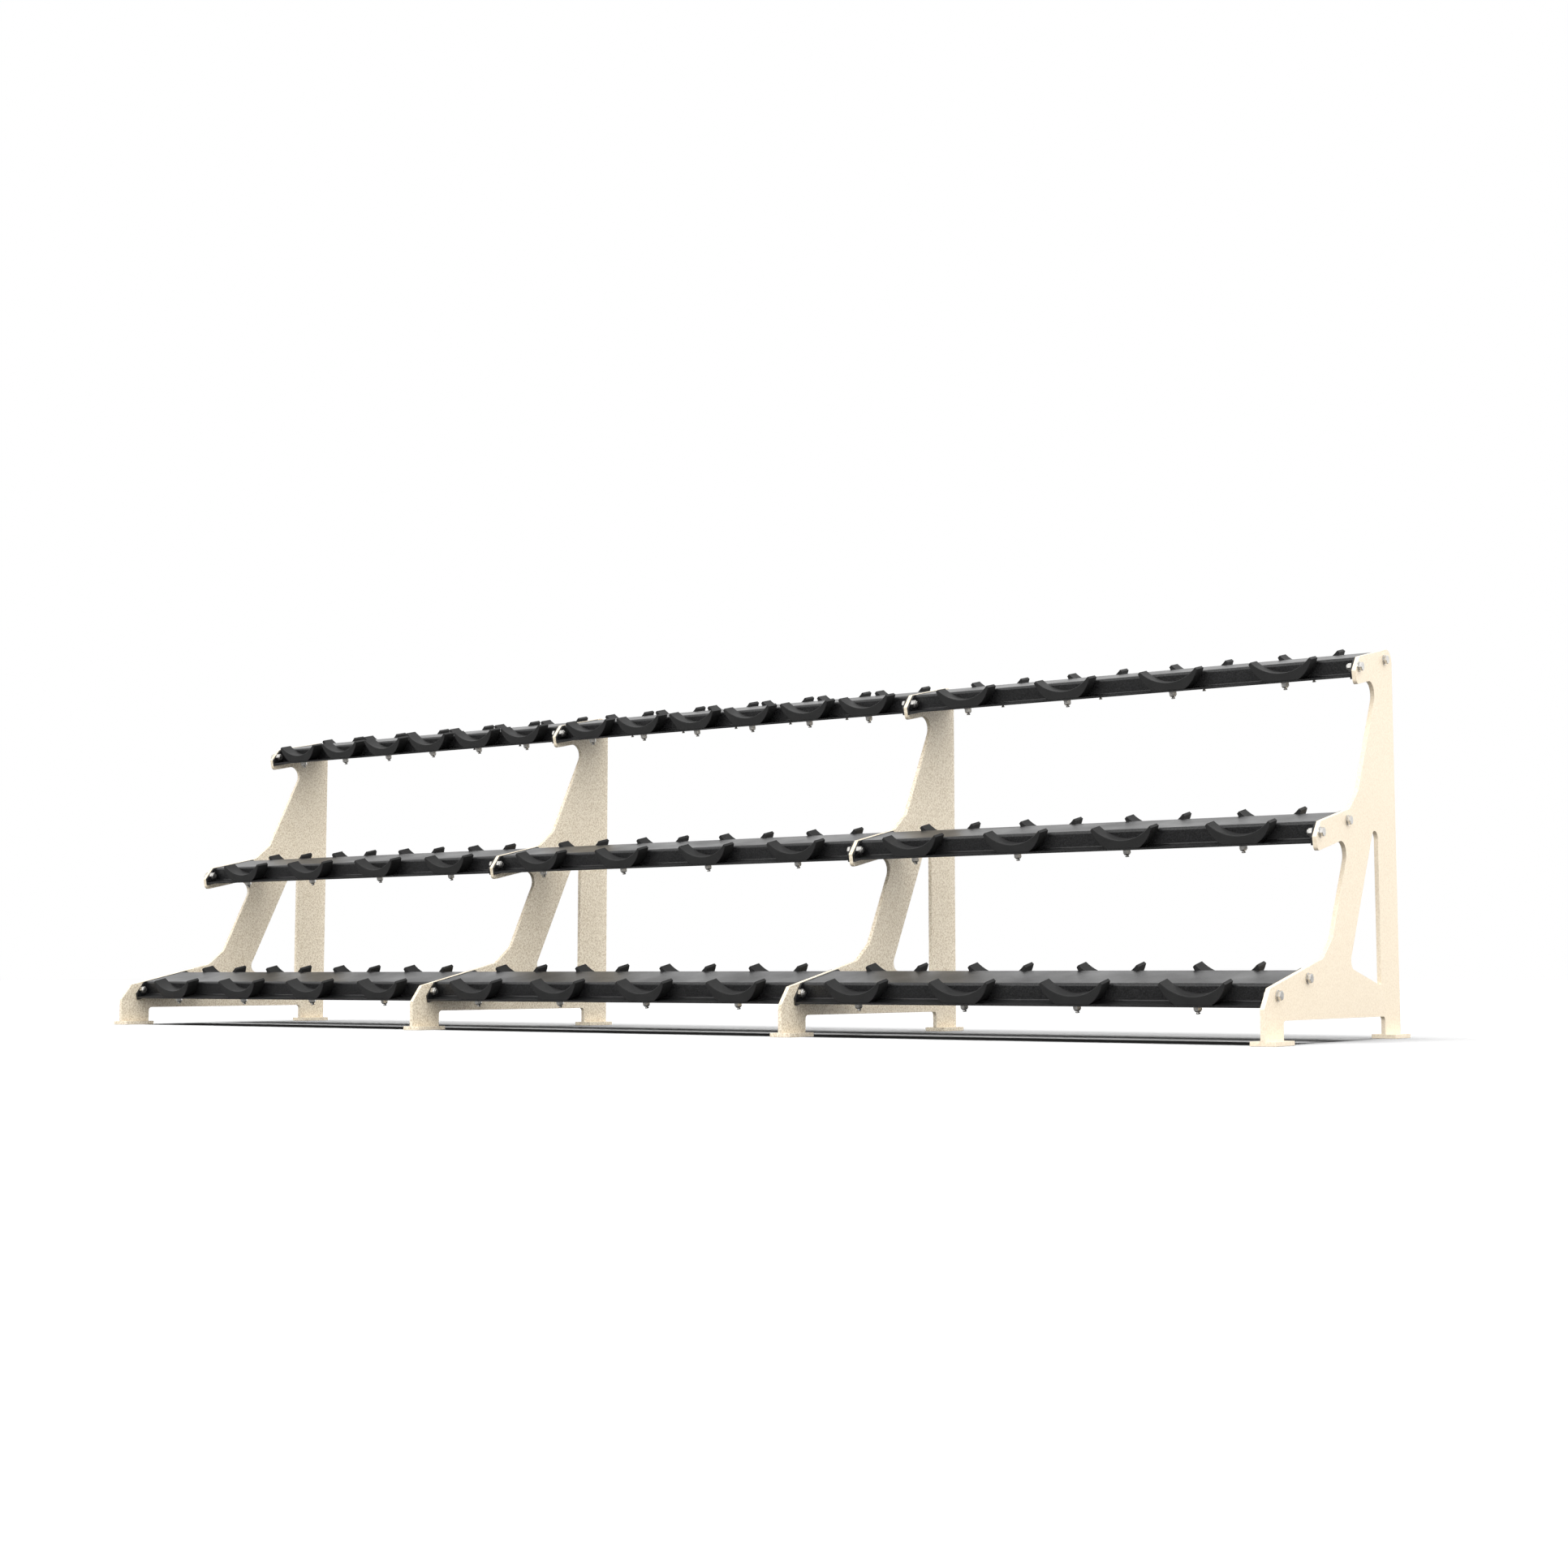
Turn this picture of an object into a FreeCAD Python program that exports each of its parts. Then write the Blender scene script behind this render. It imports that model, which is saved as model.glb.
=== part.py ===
import FreeCAD, Part
import math
import os

import Sketcher
from FreeCAD import Placement, Rotation, Vector

# Three-bay dumbbell rack, in millimetres.
#
# Four flat plate uprights stand in a row along X. Each has three arms that rise to the rear, one
# behind and above the other, and each arm carries the end of a folded sheet-metal shelf. A shelf
# is a hat section: a raised deck with a flange along the front and the rear. Moulded saddles sit
# on the two flanges in pairs, one pair to each dumbbell.
#
# Frame: X along the rack, Y from front to rear, Z up. The origin is on the floor, at the middle
# of the rack. Each tier has a frame of its own, tilted with the arms: u runs up the slope to the
# rear, v is square to it, and the tier's front bolt is at u = 0, v = 0.

SIZES = (
    ("bay_pitch", 1200, "between the centres of neighbouring uprights"),
    ("rack_depth", 804, "front edge to rear edge of an upright"),
    ("arm_tilt", 12, "degrees that the arms and shelves rise to the rear"),
    ("strut_slope", 62, "degrees from level of the strut's front edge"),
    ("plate", 10, "thickness of an upright"),
    ("bottom_bolt_y", -332, "front bolt of the bottom tier"),
    ("bottom_bolt_z", 103, "front bolt of the bottom tier"),
    ("middle_bolt_y", -77, "front bolt of the middle tier"),
    ("middle_bolt_z", 455, "front bolt of the middle tier"),
    ("top_bolt_y", 184, "front bolt of the top tier"),
    ("top_bolt_z", 847.5, "front bolt of the top tier"),
    ("bolt_spacing", 170, "front bolt to rear bolt of a tier"),
    ("arm_rise", 22.4, "bolt line up to an arm's top edge"),
    ("arm_drop", 38.7, "bolt line down to an arm's lower edge"),
    ("nose_reach", 22.5, "front bolt forward to an arm's front edge"),
    ("nose_shoulder", 11.5, "front bolt back to the start of the nose's slope"),
    ("nose_drop", 6, "bolt line down to the end of the nose's slope"),
    ("nose_radius", 11, "lower corner of an arm's nose"),
    ("edge_radius", 5, "other outer corners of an upright"),
    ("throat_leg", 40, "slope across a throat, along the arm's top edge and the strut"),
    ("throat_radius", 25, "both ends of the slope across a throat"),
    ("armpit_radius", 30, "strut into the next arm's lower edge"),
    ("crown_radius", 31, "rear top corner of an upright"),
    ("strut_y", -13.8, "a point of the strut's front edge"),
    ("strut_z", 229.9, "a point of the strut's front edge"),
    ("strut_width", 117.5, "strut's front edge to the window"),
    ("post_width", 120, "window to the rear edge"),
    ("window_y", 110.6, "a point of the window's lower edge"),
    ("window_z", 157.1, "a point of the window's lower edge"),
    ("window_radius", 20, "two left corners and apex of the window"),
    ("window_toe_radius", 6, "lower rear corner of the window"),
    ("toe_top_z", 75.5, "top of the front toe's upright edge"),
    ("toe_shoulder", 32, "front bolt of the bottom tier forward to the toe's slope"),
    ("leg_width", 100, "front leg and rear leg, along Y"),
    ("arch_z", 50.8, "underside of the beam between the legs"),
    ("arch_radius", 10, "corners of the arch under the beam"),
    ("foot_width", 57, "foot plate, along X"),
    ("foot_thickness", 10, "foot plate"),
    ("end_plate", 5, "thickness of a shelf's end plate"),
    ("end_front", 22, "front bolt forward to the end plate's front edge"),
    ("end_rear", 203, "front bolt back to the end plate's rear edge"),
    ("end_rise", 21.7, "bolt line up to the end plate's top edge"),
    ("end_drop", 26, "bolt line down to the end plate's lower edge"),
    ("end_slope_drop", 5, "bolt line down to the end of the rear slope"),
    ("end_slope_run", 30, "length of the rear slope, along u"),
    ("end_radius", 2.5, "corners of the end plate"),
    ("sheet", 4, "thickness of a shelf's sheet"),
    ("bend_radius", 3, "inside of a shelf's bends"),
    ("deck_rise", 21, "bolt line up to the deck"),
    ("web_front", 17.5, "front web's outer face"),
    ("web_rear", 160, "rear web's outer face"),
    ("flange_drop", 17.3, "bolt line down to the flanges' top face"),
    ("flange_front", 24, "front bolt forward to the front flange's edge"),
    ("flange_rear", 203, "front bolt back to the rear flange's edge"),
    ("saddle_depth", 41, "saddle, along u"),
    ("saddle_gap", 0.2, "web to the saddle beside it"),
    ("cradle_radius", 100, "inner arc of a saddle"),
    ("cradle_floor", 1.2, "bolt line up to the lowest point of the cradle"),
    ("saddle_back_radius", 81, "outer arc of a saddle"),
    ("saddle_back_rise", 52.6, "bolt line up to the centre of the outer arc"),
    ("saddle_tip", 32, "bolt line up to a saddle's tips"),
    ("saddle_edge", 1.2, "rounding of a saddle's long edges"),
    ("saddle_heel", 3.5, "corner cut off beside the shelf's bend"),
    ("saddle_run", 1136, "saddles' spacing times their number"),
    ("stud_front", -3, "axis of the front saddles' studs"),
    ("stud_rear", 181.5, "axis of the rear saddles' studs"),
    ("stud_radius", 5, "M10 stud moulded into a saddle"),
    ("stud_hole_radius", 5.5, "hole in a flange for a stud"),
    ("stud_embed", 9, "stud's length inside the saddle"),
    ("stud_end", 40, "bolt line down to a stud's end"),
    ("stud_washer_radius", 10, "M10 washer"),
    ("stud_washer", 2, "thickness of an M10 washer"),
    ("stud_nut_flats", 17, "M10 nut across its flats"),
    ("stud_nut", 8.4, "height of an M10 lock nut's hexagon"),
    ("stud_nut_collar", 3.1, "height of an M10 lock nut's collar"),
    ("bolt_radius", 6, "M12 bolt"),
    ("bolt_hole_radius", 6.5, "hole for an M12 bolt"),
    ("bolt_flats", 19, "M12 head and nut across their flats"),
    ("bolt_head", 7.5, "height of an M12 head"),
    ("bolt_nut", 8.5, "height of an M12 lock nut's hexagon"),
    ("bolt_nut_collar", 3.5, "height of an M12 lock nut's collar"),
    ("bolt_end", 2.6, "thread that stands out past a nut"),
    ("bolt_turn", 30, "turn of the heads and nuts that puts two flats level"),
    ("bolt_washer_radius", 12, "M12 washer"),
    ("bolt_washer", 2.5, "thickness of an M12 washer"),
    ("point_chamfer", 1.2, "chamfer on the ends of the threads"),
    ("crown_flat", 0.97, "flat end of a hexagon over its width across flats"),
    ("crown_run", 1.9, "run of the crown's cone over the height of its hexagon"),
    ("collar_foot", 0.95, "foot of a collar over its nut's width across flats"),
    ("collar_rim", 1.25, "rim of a collar over its nut's bore"),
)

UPRIGHTS = ("left_end", "left_inner", "right_inner", "right_end")
BAYS = ("left", "centre", "right")
TIERS = ("bottom", "middle", "top")
SADDLE_COUNTS = {"top": (6, 6, 4), "middle": (4, 4, 4), "bottom": (4, 4, 4)}


def fill_sheet(doc):
    """Put the driving dimensions into a spreadsheet, one row and one alias each."""
    sheet = doc.addObject("Spreadsheet::Sheet", "Sizes")
    for row, (alias, value, note) in enumerate(SIZES, start=1):
        sheet.set(f"A{row}", alias)
        sheet.set(f"B{row}", str(value))
        sheet.setAlias(f"B{row}", alias)
        sheet.set(f"C{row}", note)
    doc.recompute()
    return sheet


# Plane geometry for the outlines. Points are (x, y) in the sketch's own axes.


def along(angle):
    """Unit direction at an angle in degrees."""
    turn = math.radians(angle)
    return (math.cos(turn), math.sin(turn))


def crossing(point_a, way_a, point_b, way_b):
    """Point where two lines meet, each given by a point and a direction."""
    spread = way_a[0] * way_b[1] - way_a[1] * way_b[0]
    gap = (point_b[0] - point_a[0], point_b[1] - point_a[1])
    step = (gap[0] * way_b[1] - gap[1] * way_b[0]) / spread
    return (point_a[0] + step * way_a[0], point_a[1] + step * way_a[1])


def tier_bolt(sheet, tier):
    """Front bolt of a tier, as (y, z)."""
    return (sheet.get(f"{tier}_bolt_y"), sheet.get(f"{tier}_bolt_z"))


def tier_point(sheet, tier, u, v):
    """Point (u, v) of a tier's own frame, as (y, z)."""
    bolt_y, bolt_z = tier_bolt(sheet, tier)
    cosine, sine = along(sheet.get("arm_tilt"))
    return (bolt_y + u * cosine - v * sine, bolt_z + u * sine + v * cosine)


def round_corner(before, corner, after, radius):
    """Start, middle and end of the arc that rounds a corner."""
    point = Vector(corner[0], corner[1], 0)
    back = (Vector(before[0], before[1], 0) - point).normalize()
    ahead = (Vector(after[0], after[1], 0) - point).normalize()
    half_angle = back.getAngle(ahead) / 2
    cut = radius / math.tan(half_angle)
    bisector = (back + ahead).normalize()
    middle = point + bisector * (radius / math.sin(half_angle) - radius)
    return point + back * cut, middle, point + ahead * cut


def draw_outline(sketch, corners):
    """Draw a closed outline of straight sides with rounded corners.

    corners holds (x, y, radius) for each corner in order, and radius 0 leaves it sharp.
    """
    arcs = []
    for index, (x, y, radius) in enumerate(corners):
        before = corners[index - 1][:2]
        after = corners[(index + 1) % len(corners)][:2]
        if radius:
            arcs.append(round_corner(before, (x, y), after, radius))
        else:
            point = Vector(x, y, 0)
            arcs.append((point, None, point))
    edges = []
    for index, (start, middle, end) in enumerate(arcs):
        if middle is not None:
            edges.append(Part.Arc(start, middle, end))
        following = arcs[(index + 1) % len(arcs)][0]
        edges.append(Part.LineSegment(end, following))
    hold_still(sketch, edges)


def hold_still(sketch, edges):
    """Add edges to a sketch and block each one where it is drawn."""
    for edge in edges:
        index = sketch.addGeometry(edge, False)
        sketch.addConstraint(Sketcher.Constraint("Block", index))


def draw_circle(sketch, name, x, y, radius):
    """Draw a circle whose centre and radius are bound to the sheet.

    x, y and radius are expressions.
    """
    circle = Part.Circle(Vector(0, 0, 0), Vector(0, 0, 1), 1)
    index = sketch.addGeometry(circle, False)
    bonds = (
        ("DistanceX", (-1, 1, index, 3, 1), f"{name}_x", x),
        ("DistanceY", (-1, 1, index, 3, 1), f"{name}_y", y),
        ("Radius", (index, 1), f"{name}_radius", radius),
    )
    for kind, places, bond, expression in bonds:
        number = sketch.addConstraint(Sketcher.Constraint(kind, *places))
        sketch.renameConstraint(number, bond)
        sketch.setExpression(f"Constraints.{bond}", expression)


# Features of a body.


def new_sketch(body, role, name):
    """Sketch on one of a body's own origin planes."""
    sketch = body.newObject("Sketcher::SketchObject", name)
    plane = next(item for item in body.Origin.OriginFeatures if item.Role == role)
    sketch.AttachmentSupport = [(plane, "")]
    sketch.MapMode = "FlatFace"
    return sketch


def new_pad(body, sketch, name, length, midplane=False, reverse=False):
    """Pad a sketch by an expression's length."""
    pad = body.newObject("PartDesign::Pad", name)
    pad.Profile = sketch
    pad.Midplane = midplane
    pad.Reversed = reverse
    pad.setExpression("Length", length)
    sketch.Visibility = False
    body.Tip = pad
    return pad


def new_through_pocket(body, sketch, name):
    """Cut a sketch right through the body, both ways."""
    pocket = body.newObject("PartDesign::Pocket", name)
    pocket.Profile = sketch
    pocket.Type = "ThroughAll"
    pocket.Midplane = True
    sketch.Visibility = False
    body.Tip = pocket
    return pocket


def bind_place(item, x, y, z, tilt=None):
    """Bind an object's place, and its turn about X, to expressions."""
    item.Placement = Placement(Vector(0, 0, 0), Rotation(Vector(1, 0, 0), 1))
    item.setExpression("Placement.Base.x", x)
    item.setExpression("Placement.Base.y", y)
    item.setExpression("Placement.Base.z", z)
    item.setExpression("Placement.Rotation.Angle", tilt or "0")


def bind_to_tier(item, tier, x):
    """Bind an object to a tier's frame, at a place along X."""
    bind_place(item, x, f"Sizes.{tier}_bolt_y", f"Sizes.{tier}_bolt_z", "Sizes.arm_tilt")


def upright_x(index):
    """Expression for an upright's place along X."""
    return f"Sizes.bay_pitch * {index - 1.5}"


def bay_x(index):
    """Expression for the middle of a bay along X."""
    return f"Sizes.bay_pitch * {index - 1}"


# Uprights and feet.


def arm_corners(sheet, tier):
    """Corners round an arm's nose, from its lower edge to its top edge."""
    reach = -sheet.get("nose_reach")
    nose = (
        (reach, -sheet.get("arm_drop"), sheet.get("nose_radius")),
        (reach, -sheet.get("nose_drop"), sheet.get("edge_radius")),
        (sheet.get("nose_shoulder"), sheet.get("arm_rise"), sheet.get("edge_radius")),
    )
    return [(*tier_point(sheet, tier, u, v), radius) for u, v, radius in nose]


def strut_meets(sheet, tier, v):
    """Point where the strut's front edge meets a tier's line at height v."""
    strut = (sheet.get("strut_y"), sheet.get("strut_z"))
    level = tier_point(sheet, tier, 0, v)
    return crossing(strut, along(sheet.get("strut_slope")), level, along(sheet.get("arm_tilt")))


def throat_corners(sheet, tier):
    """Both ends of the slope between an arm's top edge and the strut."""
    meeting = strut_meets(sheet, tier, sheet.get("arm_rise"))
    arm = along(sheet.get("arm_tilt"))
    strut = along(sheet.get("strut_slope"))
    leg = sheet.get("throat_leg")
    radius = sheet.get("throat_radius")
    return [
        (meeting[0] - leg * arm[0], meeting[1] - leg * arm[1], radius),
        (meeting[0] + leg * strut[0], meeting[1] + leg * strut[1], radius),
    ]


def upright_corners(sheet):
    """Outline of an upright, from the front leg over the arms to the rear leg."""
    rear = sheet.get("rack_depth") / 2
    rise = sheet.get("arm_rise")
    drop = -sheet.get("arm_drop")
    base = sheet.get("foot_thickness")
    arch = sheet.get("arch_z")
    leg = rear - sheet.get("leg_width")
    edge = sheet.get("edge_radius")
    armpit = sheet.get("armpit_radius")
    arch_radius = sheet.get("arch_radius")
    toe = tier_point(sheet, "bottom", -sheet.get("toe_shoulder"), rise)
    top_edge = tier_point(sheet, "top", 0, rise)
    crown = crossing(top_edge, along(sheet.get("arm_tilt")), (rear, 0), (0, 1))
    return [
        (-rear, base, 0),
        (-rear, sheet.get("toe_top_z"), edge),
        (*toe, edge),
        *throat_corners(sheet, "bottom"),
        (*strut_meets(sheet, "middle", drop), armpit),
        *arm_corners(sheet, "middle"),
        *throat_corners(sheet, "middle"),
        (*strut_meets(sheet, "top", drop), armpit),
        *arm_corners(sheet, "top"),
        (*crown, sheet.get("crown_radius")),
        (rear, base, 0),
        (leg, base, 0),
        (leg, arch, arch_radius),
        (-leg, arch, arch_radius),
        (-leg, base, 0),
    ]


def window_corners(sheet):
    """Three-cornered window between the strut, the rear post and the beam."""
    slope = along(sheet.get("strut_slope"))
    fall = along(-sheet.get("arm_tilt"))
    width = sheet.get("strut_width")
    inner = (sheet.get("strut_y") + width * slope[1], sheet.get("strut_z") - width * slope[0])
    sill = (sheet.get("window_y"), sheet.get("window_z"))
    post = (sheet.get("rack_depth") / 2 - sheet.get("post_width"), 0)
    radius = sheet.get("window_radius")
    return [
        (*crossing(inner, slope, sill, fall), radius),
        (*crossing(inner, slope, post, (0, 1)), radius),
        (*crossing(sill, fall, post, (0, 1)), sheet.get("window_toe_radius")),
    ]


def tier_bolt_expressions(tier):
    """Places of a tier's front and rear bolts, as (name, y, z) expressions."""
    step = "Sizes.bolt_spacing * {}(Sizes.arm_tilt * 1 deg)"
    front_y = f"Sizes.{tier}_bolt_y"
    front_z = f"Sizes.{tier}_bolt_z"
    rear_y = f"{front_y} + {step.format('cos')}"
    rear_z = f"{front_z} + {step.format('sin')}"
    return ((f"{tier}_front", front_y, front_z), (f"{tier}_rear", rear_y, rear_z))


def make_upright(doc, sheet, index):
    """One upright: a plate with three arms, two legs, a window and six bolt holes."""
    body = doc.addObject("PartDesign::Body", f"upright_{UPRIGHTS[index]}")
    profile = new_sketch(body, "YZ_Plane", "upright_profile")
    draw_outline(profile, upright_corners(sheet))
    draw_outline(profile, window_corners(sheet))
    new_pad(body, profile, "upright_plate", "Sizes.plate", midplane=True)
    holes = new_sketch(body, "YZ_Plane", "bolt_holes")
    for tier in TIERS:
        for name, y, z in tier_bolt_expressions(tier):
            draw_circle(holes, name, y, z, "Sizes.bolt_hole_radius")
    new_through_pocket(body, holes, "bolt_hole_pocket")
    bind_place(body, upright_x(index), "0", "0")
    return body


def make_foot(doc, index, side):
    """Foot plate welded under one leg of an upright."""
    foot = doc.addObject("Part::Box", f"foot_plate_{side}_{UPRIGHTS[index]}")
    foot.setExpression("Length", "Sizes.foot_width")
    foot.setExpression("Width", "Sizes.leg_width")
    foot.setExpression("Height", "Sizes.foot_thickness")
    start = {
        "front": "-Sizes.rack_depth / 2",
        "rear": "Sizes.rack_depth / 2 - Sizes.leg_width",
    }
    bind_place(foot, f"{upright_x(index)} - Sizes.foot_width / 2", start[side], "0")
    return foot


# Shelves.


def shelf_corners(sheet):
    """Hat section of a shelf: along its upper face, then back along its lower face."""
    sheet_metal = sheet.get("sheet")
    inside = sheet.get("bend_radius")
    outside = inside + sheet_metal
    front = -sheet.get("flange_front")
    rear = sheet.get("flange_rear")
    flange = -sheet.get("flange_drop")
    deck = sheet.get("deck_rise")
    web_front = sheet.get("web_front")
    web_rear = sheet.get("web_rear")
    return [
        (front, flange, 0),
        (web_front, flange, inside),
        (web_front, deck, outside),
        (web_rear, deck, outside),
        (web_rear, flange, inside),
        (rear, flange, 0),
        (rear, flange - sheet_metal, 0),
        (web_rear - sheet_metal, flange - sheet_metal, outside),
        (web_rear - sheet_metal, deck - sheet_metal, inside),
        (web_front + sheet_metal, deck - sheet_metal, inside),
        (web_front + sheet_metal, flange - sheet_metal, outside),
        (front, flange - sheet_metal, 0),
    ]


def first_saddle(count):
    """Expression for the first saddle of a row, from the middle of its bay."""
    return f"-Sizes.saddle_run / {count} * {(count - 1) / 2}"


def make_shelf(doc, sheet, tier, bay):
    """One shelf, with a row of stud holes in each flange."""
    count = SADDLE_COUNTS[tier][bay]
    body = doc.addObject("PartDesign::Body", f"shelf_{tier}_{BAYS[bay]}")
    section = new_sketch(body, "YZ_Plane", "hat_section")
    draw_outline(section, shelf_corners(sheet))
    length = "Sizes.bay_pitch - Sizes.plate - 2 * Sizes.end_plate"
    new_pad(body, section, "folded_sheet", length, midplane=True)
    holes = new_sketch(body, "XY_Plane", "stud_holes")
    for name in ("stud_front", "stud_rear"):
        draw_circle(holes, name, first_saddle(count), f"Sizes.{name}", "Sizes.stud_hole_radius")
    pocket = new_through_pocket(body, holes, "stud_hole_pocket")
    doc.recompute()
    row = body.newObject("PartDesign::LinearPattern", "stud_hole_row")
    row.Originals = [pocket]
    axis = next(item for item in body.Origin.OriginFeatures if item.Role == "X_Axis")
    row.Direction = (axis, [""])
    row.Occurrences = count
    row.setExpression("Length", f"Sizes.saddle_run / {count} * {count - 1}")
    body.Tip = row
    bind_to_tier(body, tier, bay_x(bay))
    return body


def end_plate_corners(sheet):
    """Outline of a shelf's end plate, in its tier's frame."""
    front = -sheet.get("end_front")
    rear = sheet.get("end_rear")
    top = sheet.get("end_rise")
    low = -sheet.get("end_drop")
    radius = sheet.get("end_radius")
    return [
        (front, low, radius),
        (front, -sheet.get("nose_drop") - radius / 2, radius),
        (sheet.get("nose_shoulder") + 1, top, radius),
        (rear - sheet.get("end_slope_run"), top, radius),
        (rear, -sheet.get("end_slope_drop"), radius),
        (rear, low, radius),
    ]


def make_end_plate(doc, sheet):
    """Pattern piece: an end plate with its two bolt holes, at a tier's origin."""
    body = doc.addObject("PartDesign::Body", "end_plate_pattern")
    profile = new_sketch(body, "YZ_Plane", "end_plate_profile")
    draw_outline(profile, end_plate_corners(sheet))
    new_pad(body, profile, "end_plate_sheet", "Sizes.end_plate", midplane=True)
    holes = new_sketch(body, "YZ_Plane", "end_plate_holes")
    draw_circle(holes, "front", "0", "0", "Sizes.bolt_hole_radius")
    draw_circle(holes, "rear", "Sizes.bolt_spacing", "0", "Sizes.bolt_hole_radius")
    new_through_pocket(body, holes, "end_plate_hole_pocket")
    return body


# Saddles and fasteners. Each kind is made once as a pattern piece, in a tier's frame, and the
# rows and groups are links to it.


def saddle_edges(sheet):
    """Crescent section of a saddle, seen along u with its stud's axis in the middle.

    The tips are cut square to the cradle's arc.
    """
    cradle = sheet.get("cradle_radius")
    cradle_centre = sheet.get("cradle_floor") + cradle
    back = sheet.get("saddle_back_radius")
    back_centre = sheet.get("saddle_back_rise")
    foot = -sheet.get("flange_drop")
    tip = sheet.get("saddle_tip")
    foot_x = math.sqrt(back**2 - (back_centre - foot) ** 2)
    inner_x = math.sqrt(cradle**2 - (cradle_centre - tip) ** 2)
    cut = (inner_x / cradle, (tip - cradle_centre) / cradle)
    rise = cradle_centre - back_centre
    reach = math.sqrt(back**2 - (rise * cut[0]) ** 2) - rise * cut[1]
    middle = Vector(0, back_centre, 0)
    foot_right = Vector(foot_x, foot, 0)
    inner_right = Vector(inner_x, tip, 0)
    outer_right = Vector(reach * cut[0], cradle_centre + reach * cut[1], 0)
    bulge_right = middle + (foot_right + outer_right - middle * 2).normalize() * back
    right = (foot_right, bulge_right, outer_right, inner_right)
    foot_left, bulge_left, outer_left, inner_left = (Vector(-p.x, p.y, 0) for p in right)
    return [
        Part.LineSegment(foot_left, foot_right),
        Part.Arc(foot_right, bulge_right, outer_right),
        Part.LineSegment(outer_right, inner_right),
        Part.Arc(inner_right, Vector(0, cradle_centre - cradle, 0), inner_left),
        Part.LineSegment(inner_left, outer_left),
        Part.Arc(outer_left, bulge_left, foot_left),
    ]


def edges_where(shape, wanted):
    """Names of the edges all of whose points pass a test."""
    names = []
    for number, edge in enumerate(shape.Edges, start=1):
        places = [edge.valueAt(edge.FirstParameter), edge.valueAt(edge.LastParameter)]
        if all(wanted(place) for place in places):
            names.append(f"Edge{number}")
    return names


def make_saddle(doc, sheet, side):
    """Pattern piece: a saddle, padded away from its web, with a socket for its stud."""
    body = doc.addObject("PartDesign::Body", f"saddle_pattern_{side}")
    section = new_sketch(body, "XZ_Plane", "saddle_section")
    hold_still(section, saddle_edges(sheet))
    rear = side == "rear"
    pad = new_pad(body, section, "saddle_block", "Sizes.saddle_depth", reverse=rear)
    doc.recompute()
    foot = -sheet.get("flange_drop")
    depth = sheet.get("saddle_depth")
    outer_face = depth if rear else -depth

    def beside_bend(place):
        return abs(place.y) < 0.01 and abs(place.z - foot) < 0.01

    def on_outer_face(place):
        return abs(place.y - outer_face) < 0.01

    heel = body.newObject("PartDesign::Chamfer", "saddle_heel")
    heel.Base = (pad, edges_where(pad.Shape, beside_bend))
    heel.setExpression("Size", "Sizes.saddle_heel")
    body.Tip = heel
    doc.recompute()
    soft = body.newObject("PartDesign::Fillet", "saddle_soft_edges")
    soft.Base = (heel, edges_where(heel.Shape, on_outer_face))
    soft.setExpression("Radius", "Sizes.saddle_edge")
    body.Tip = soft
    doc.recompute()
    socket = new_sketch(body, "XY_Plane", "stud_socket")
    web = "Sizes.web_rear + Sizes.saddle_gap" if rear else "Sizes.web_front - Sizes.saddle_gap"
    draw_circle(socket, "socket", "0", f"Sizes.stud_{side} - ({web})", "Sizes.stud_radius")
    socket.setExpression("AttachmentOffset.Base.z", "-Sizes.flange_drop")
    pocket = body.newObject("PartDesign::Pocket", "stud_socket_pocket")
    pocket.Profile = socket
    pocket.Reversed = True
    pocket.setExpression("Length", "Sizes.stud_embed")
    body.Tip = pocket
    return body


def rod(doc, name, radius, length, low):
    """Upright cylinder from height low, all three given as expressions."""
    cylinder = doc.addObject("Part::Cylinder", name)
    cylinder.setExpression("Radius", radius)
    cylinder.setExpression("Height", length)
    cylinder.setExpression("Placement.Base.z", low)
    return cylinder


def hexagon(doc, name, flats, height, low):
    """Upright hexagonal prism with corners at its left and right."""
    prism = doc.addObject("Part::Prism", name)
    prism.Polygon = 6
    prism.setExpression("Circumradius", f"{flats} / 2 / cos(30 deg)")
    prism.setExpression("Height", height)
    prism.setExpression("Placement.Base.z", low)
    return prism


def cone(doc, name, foot, top, height, low):
    """Upright frustum from height low, all four given as expressions."""
    frustum = doc.addObject("Part::Cone", name)
    frustum.setExpression("Radius1", foot)
    frustum.setExpression("Radius2", top)
    frustum.setExpression("Height", height)
    frustum.setExpression("Placement.Base.z", low)
    return frustum


def dome(doc, name, block, flats, height, low):
    """Round off the top corners of a hexagonal block with a flat cone."""
    foot = f"{flats} / 2 + {height} * Sizes.crown_run"
    crown = cone(doc, f"{name}_cone", foot, f"{flats} / 2 * Sizes.crown_flat", height, low)
    common = doc.addObject("Part::Common", name)
    common.Base = block
    common.Tool = crown
    return common


def washer(doc, name, outer, inner, thickness):
    """Flat ring on the XY plane."""
    disc = rod(doc, f"{name}_disc", outer, thickness, "0")
    bore = rod(doc, f"{name}_bore", inner, thickness, "0")
    ring = doc.addObject("Part::Cut", name)
    ring.Base = disc
    ring.Tool = bore
    return ring


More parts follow.
